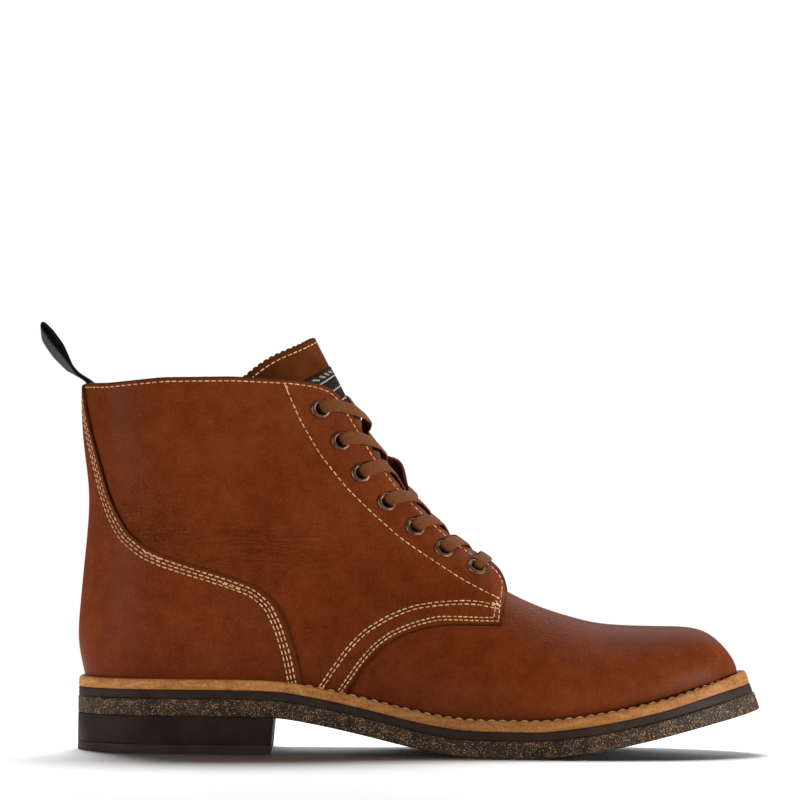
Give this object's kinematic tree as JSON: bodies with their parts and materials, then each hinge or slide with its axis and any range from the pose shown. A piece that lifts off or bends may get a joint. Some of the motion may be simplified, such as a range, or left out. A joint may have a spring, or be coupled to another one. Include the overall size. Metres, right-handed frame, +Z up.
{
  "type": "leather boot",
  "caption": "Brown leather ankle boot for the right foot, laced through metal eyelets, with a stitched welt, flecked rubber sole, block heel and pull loop.",
  "frame": {"origin": "middle of the boot's length and width, on the floor", "axes": "+X to the toe, +Y to the inner side of the foot, +Z up"},
  "size_m": [0.3237, 0.1047, 0.1921],
  "materials": {
    "upper_leather": "waxed smooth",
    "counter_leather": "waxed smooth",
    "tongue_suede": "napped",
    "welt_leather": "burnished edge",
    "midsole_rubber": "matte",
    "outsole_rubber": "matte, flecked",
    "heel_rubber": "matte",
    "insole_leather": "natural",
    "lace_cord": "woven",
    "eyelet_metal": "antique",
    "loop_webbing": "woven"
  },
  "bodies": {
    "root": {"heel_lift": "heel_rubber", "heel_block": "heel_rubber", "outsole": "outsole_rubber", "midsole": "midsole_rubber", "welt": "welt_leather", "insole": "insole_leather", "upper": "upper_leather", "counter": "counter_leather", "tongue": "tongue_suede", "lace": "lace_cord", "pull_loop": "loop_webbing", "eyelet_lateral_1": "eyelet_metal", "eyelet_lateral_2": "eyelet_metal", "eyelet_lateral_3": "eyelet_metal", "eyelet_lateral_4": "eyelet_metal", "eyelet_lateral_5": "eyelet_metal", "eyelet_lateral_6": "eyelet_metal", "eyelet_lateral_7": "eyelet_metal", "eyelet_medial_1": "eyelet_metal", "eyelet_medial_2": "eyelet_metal", "eyelet_medial_3": "eyelet_metal", "eyelet_medial_4": "eyelet_metal", "eyelet_medial_5": "eyelet_metal", "eyelet_medial_6": "eyelet_metal", "eyelet_medial_7": "eyelet_metal"}
  },
  "joints": []
}
